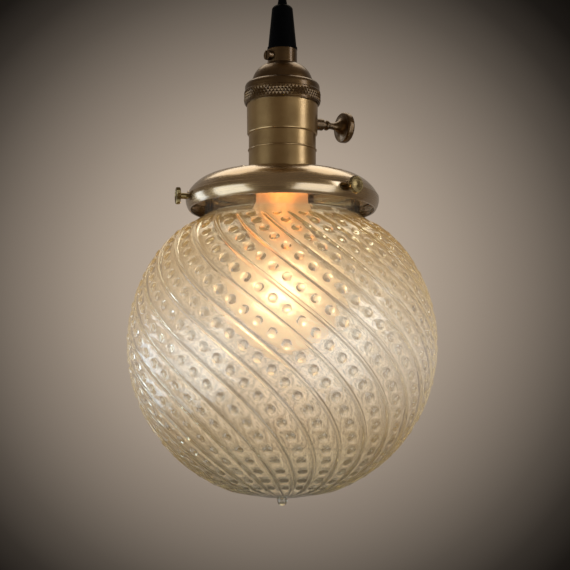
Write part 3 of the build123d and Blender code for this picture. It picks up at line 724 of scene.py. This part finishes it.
def make_globe():
    hobnails = hobnail_latitudes()
    rows = pattern_rows(hobnails)
    globe = turned_piece("hobnail_globe", globe_section(rows), rib_count * columns)
    radius, height, turn, latitude, outer = twist_columns(globe, hobnails)
    lift = np.where(outer, raised_pattern(turn, latitude, hobnails), 0)
    radius = radius + lift * np.cos(np.radians(latitude))
    height = height + lift * np.sin(np.radians(latitude))
    angle = np.radians(turn)
    shaped = np.stack([radius * np.sin(angle), -radius * np.cos(angle), height], axis=1)
    move_points(globe, shaped * mm)
    smooth(globe, 70)
    crisp_flats(globe)
    finish_piece(globe, globe_glass, "lamp", "globe_glass", "glass_globe")


make_globe()


# Bulb: a thin frosted envelope, open at the base.

bulb_neck_r = 13.2
bulb_glass_top = -216.8
bulb_neck_low = -224.4
bulb_r = 30.0
bulb_centre = -271.4
bulb_wall = 0.8
sweep_steps = 8
ball_steps = 14


def bulb_contour(inset):
    """From the base down to the lowest point, a given distance inside the outer face."""
    rise = bulb_neck_low - bulb_centre
    sweep_r = (bulb_neck_r ** 2 + rise ** 2 - bulb_r ** 2) / (2 * (bulb_r - bulb_neck_r))
    meet = math.atan2(rise, bulb_neck_r + sweep_r)
    contour = [(bulb_neck_r - inset, bulb_glass_top), (bulb_neck_r - inset, bulb_neck_low)]
    for step in range(1, sweep_steps + 1):
        angle = meet * step / sweep_steps
        reach = sweep_r + inset
        radius = bulb_neck_r + sweep_r - reach * math.cos(angle)
        contour.append((radius, bulb_neck_low - reach * math.sin(angle)))
    for step in range(1, ball_steps + 1):
        angle = meet + (-math.pi / 2 - meet) * step / ball_steps
        reach = bulb_r - inset
        radius = reach * math.cos(angle) if step < ball_steps else 0
        contour.append((radius, bulb_centre + reach * math.sin(angle)))
    return contour


def bulb_section():
    return bulb_contour(0)[::-1] + bulb_contour(bulb_wall)


def make_bulb():
    bulb = turned_piece("frosted_bulb", bulb_section(), 64)
    smooth(bulb, 40)
    finish_piece(bulb, bulb_glass, "bulb", "bulb_glass", "bulb_envelope")


make_bulb()


# Collar: the ring with a diamond knurl that screws the cap down.

collar_top = -162.3
collar_bottom = -173.7
collar_r = 18.96
collar_bore = 18.16
collar_lip_r = 15.66
collar_lip_low = -163.9
collar_edge_x = 16.31
edge_break = 0.2
edge_steps = 8
knurl_r = 19.5
knurl_rise = 0.25
knurl_cut = 0.35
knurl_base = knurl_r - knurl_rise
knurl_low = -172.7
knurl_high = -167.5
knurl_diamonds = 64
knurl_rows = 4


def collar_section():
    edge_r = collar_r - collar_edge_x
    section = [
        (collar_bore, collar_bottom + edge_break),
        (collar_bore, collar_lip_low),
        (collar_lip_r, collar_lip_low),
        (collar_lip_r, collar_top - 0.15),
        (collar_lip_r + 0.15, collar_top),
    ]
    for step in range(edge_steps + 1):
        angle = math.radians(90 - 90 * step / edge_steps)
        radius = collar_edge_x + edge_r * math.cos(angle)
        section.append((radius, collar_top - edge_r + edge_r * math.sin(angle)))
    section += [(collar_r, knurl_high + 0.75), (collar_r + 0.25, knurl_high + 0.35)]
    for step in range(knurl_rows + 1):
        section.append((knurl_base, knurl_high + (knurl_low - knurl_high) * step / knurl_rows))
    section += [
        (collar_r + 0.25, knurl_low - 0.3),
        (collar_r, knurl_low - 0.55),
        (collar_r, collar_bottom + edge_break),
        (collar_r - edge_break, collar_bottom),
        (collar_bore + edge_break, collar_bottom),
        (collar_bore, collar_bottom + edge_break),
    ]
    return section


def cut_grooves(collar, groove_points):
    """Splits each knurl face from groove point to groove point, which leaves pyramids between."""
    pick(collar)
    bpy.ops.object.mode_set(mode="EDIT")
    bpy.ops.mesh.select_mode(type="VERT")
    bpy.ops.mesh.select_all(action="DESELECT")
    bpy.ops.object.mode_set(mode="OBJECT")
    collar.data.vertices.foreach_set("select", groove_points)
    bpy.ops.object.mode_set(mode="EDIT")
    bpy.ops.mesh.vert_connect()
    bpy.ops.object.mode_set(mode="OBJECT")


def make_collar():
    collar = turned_piece("diamond_knurl_collar", collar_section(), 2 * knurl_diamonds)
    places = points_of(collar) / mm
    radius, turn = round_axis(places)
    column = np.round(turn / 360 * 2 * knurl_diamonds).astype(int)
    row = np.round((knurl_high - places[:, 2]) / (knurl_high - knurl_low) * knurl_rows).astype(int)
    on_knurl = np.abs(radius - knurl_base) < 0.01
    inner_row = (row > 0) & (row < knurl_rows)
    raised = np.where((column + row) % 2 == 0, knurl_rise, -knurl_cut)
    lift = np.where(on_knurl & inner_row, raised, 0)
    scale = (radius + lift) / radius
    places[:, 0] *= scale
    places[:, 1] *= scale
    move_points(collar, places * mm)
    cut_grooves(collar, on_knurl & ((column + row) % 2 == 1))
    smooth(collar, 25)
    finish_piece(collar, brass_painted_shade, "lamp", "antique_brass", "knurled_collar")


make_collar()


# Thumbscrews: knurled heads on plain shanks, aimed at the globe's neck.

thumbscrew_z = -222.62
thumbscrew_tip = 39.3
thumbscrew_shank_r = 1.52
head_start = 51.95
head_end = 54.05
head_r = 4.25
head_bevel = 0.35
head_teeth = 30
tooth_cut = 0.30
thumbscrews = {"front": 42, "left": -78, "back": 162}


def thumbscrew_section():
    return [
        (0, thumbscrew_tip),
        (thumbscrew_shank_r - 0.3, thumbscrew_tip),
        (thumbscrew_shank_r, thumbscrew_tip + 0.3),
        (thumbscrew_shank_r, head_start),
        (head_r - 0.3, head_start),
        (head_r, head_start + 0.3),
        (head_r, head_end - head_bevel),
        (head_r - head_bevel, head_end),
        (head_r - 1.1, head_end),
        (head_r - 1.4, head_end - 0.25),
        (0.9, head_end - 0.25),
        (0.5, head_end - 0.1),
        (0, head_end - 0.1),
    ]


def make_thumbscrew(side, azimuth):
    """Turned upright on the lamp's axis, its head knurled, then laid over and swung to its place."""
    screw = turned_piece("thumbscrew_" + side + "_knurled", thumbscrew_section(), 2 * head_teeth)
    places = points_of(screw)
    radius, turn = round_axis(places)
    tooth = np.round(turn / 360 * 2 * head_teeth).astype(int) % 2
    on_rim = radius > (head_r - head_bevel - 0.01) * mm
    cut = np.where(on_rim & (tooth == 1), 1 - tooth_cut / head_r, 1)
    places[:, 0] *= cut
    places[:, 1] *= cut
    swing = math.radians(azimuth)
    out, side_way, up = places[:, 2], places[:, 0], places[:, 1]
    laid = np.stack([
        out * math.sin(swing) + side_way * math.cos(swing),
        -out * math.cos(swing) + side_way * math.sin(swing),
        up + thumbscrew_z * mm,
    ], axis=1)
    move_points(screw, laid)
    pick(screw)
    bpy.ops.object.mode_set(mode="EDIT")
    bpy.ops.mesh.select_all(action="SELECT")
    bpy.ops.mesh.normals_make_consistent(inside=False)
    bpy.ops.object.mode_set(mode="OBJECT")
    smooth(screw, 25)
    finish_piece(screw, screw_brass, side + "_screw", "screw_brass", "thumbscrew_" + side)


for screw_side, screw_azimuth in thumbscrews.items():
    make_thumbscrew(screw_side, screw_azimuth)


# Stage: a plain wall far behind, a pale floor well below, and soft light.

wall_distance = 1.8
wall_centre = -0.011
wall_half = 3.0
wall_shift = -0.019
wall_glow_r = 0.65
# Painted light and shade on the wall, by distance from its middle: brightest behind the globe, darker
# towards the corners.
wall_painted_levels = (
    (0.0, 0.006),
    (0.06, 0.010),
    (0.15, 0.031),
    (0.25, 0.077),
    (0.33, 0.127),
    (0.47, 0.220),
    (0.55, 0.280),
    (0.65, 0.347),
    (0.77, 0.400),
    (1.0, 0.43),
)
wall_tint = (1.22, 1.0, 0.80)
wall_bounce = (0.24, 0.20, 0.16, 1)
floor_drop = -1.7
floor_size = 8


def wall_colour(level):
    return tuple(share * level for share in wall_tint)


def make_wall():
    """Greige wall that shines by itself, with painted light and shade: brightest behind the globe and dark
    towards the corners.

    Seen directly or through the glass it has that glow. Reflections and soft light get one even tone.
    """
    deselect()
    bpy.ops.mesh.primitive_plane_add(
        size=2 * wall_half,
        location=(wall_shift, wall_distance, wall_centre),
        rotation=(math.pi / 2, 0, 0),
    )
    wall = bpy.context.object
    wall.name = "backdrop_wall"
    material, tree, shader = new_material("greige_wall")
    shader.inputs["Base Color"].default_value = (0, 0, 0, 1)
    shader.inputs["Roughness"].default_value = 1
    shader.inputs["Specular IOR Level"].default_value = 0
    shader.inputs["Emission Strength"].default_value = 1
    place = tree.nodes.new("ShaderNodeTexCoord")
    mapping = tree.nodes.new("ShaderNodeMapping")
    mapping.inputs["Scale"].default_value = (1 / wall_glow_r, 1 / wall_glow_r, 1)
    glow = tree.nodes.new("ShaderNodeTexGradient")
    glow.gradient_type = "SPHERICAL"
    tree.links.new(place.outputs["Object"], mapping.inputs["Vector"])
    tree.links.new(mapping.outputs["Vector"], glow.inputs["Vector"])
    ramp = tree.nodes.new("ShaderNodeValToRGB")
    fill_ramp(ramp, [(position, wall_colour(level)) for position, level in wall_painted_levels])
    tree.links.new(glow.outputs["Fac"], ramp.inputs["Fac"])
    ray = tree.nodes.new("ShaderNodeLightPath")
    seen = tree.nodes.new("ShaderNodeMix")
    seen.data_type = "RGBA"
    seen.inputs["A"].default_value = wall_bounce
    either = tree.nodes.new("ShaderNodeMath")
    either.operation = "MAXIMUM"
    tree.links.new(ray.outputs["Is Camera Ray"], either.inputs[0])
    tree.links.new(ray.outputs["Is Transmission Ray"], either.inputs[1])
    tree.links.new(either.outputs["Value"], seen.inputs["Factor"])
    tree.links.new(ramp.outputs["Color"], seen.inputs["B"])
    tree.links.new(seen.outputs["Result"], shader.inputs["Emission Color"])
    wall.data.materials.append(material)


def make_floor():
    deselect()
    bpy.ops.mesh.primitive_plane_add(size=floor_size, location=(0, 0, floor_drop))
    floor = bpy.context.object
    floor.name = "pale_floor"
    material, _, shader = new_material("pale_floor")
    shader.inputs["Base Color"].default_value = (0.62, 0.58, 0.53, 1)
    shader.inputs["Roughness"].default_value = 0.8
    floor.data.materials.append(material)


def add_softbox(name, place, aim, width, height, power, colour):
    data = bpy.data.lights.new(name, "AREA")
    data.shape = "RECTANGLE"
    data.size = width
    data.size_y = height
    data.energy = power
    data.color = colour
    lamp = bpy.data.objects.new(name, data)
    lamp.location = place
    lamp.visible_camera = False
    way = Vector(aim) - Vector(place)
    lamp.rotation_euler = way.to_track_quat("-Z", "Y").to_euler()
    scene.collection.objects.link(lamp)


def make_world():
    world = bpy.data.worlds.new("studio")
    world.use_nodes = True
    back = world.node_tree.nodes["Background"]
    back.inputs["Color"].default_value = (0.18, 0.145, 0.108, 1)
    back.inputs["Strength"].default_value = 1
    scene.world = world


lamp_middle = (0, 0, -0.25)
make_wall()
make_floor()
make_world()
add_softbox("window_left", (-1.18, -0.55, -0.62), lamp_middle, 1.1, 1.1, 9.5, (0.76, 0.89, 1.0))
add_softbox("window_far", (1.15, -0.40, 0.10), lamp_middle, 0.35, 0.5, 2.2, (0.94, 0.97, 1.0))
add_softbox("window_back", (-1.15, 0.50, -0.45), lamp_middle, 0.35, 0.7, 2.2, (0.66, 0.82, 1.0))
add_softbox("ceiling_glow", (0, 0.55, 0.75), lamp_middle, 1.2, 0.8, 5.0, (1.0, 0.90, 0.72))
add_softbox("window_right", (0.84, -1.0, -0.62), lamp_middle, 1.2, 1.0, 8.0, (0.88, 0.95, 1.0))
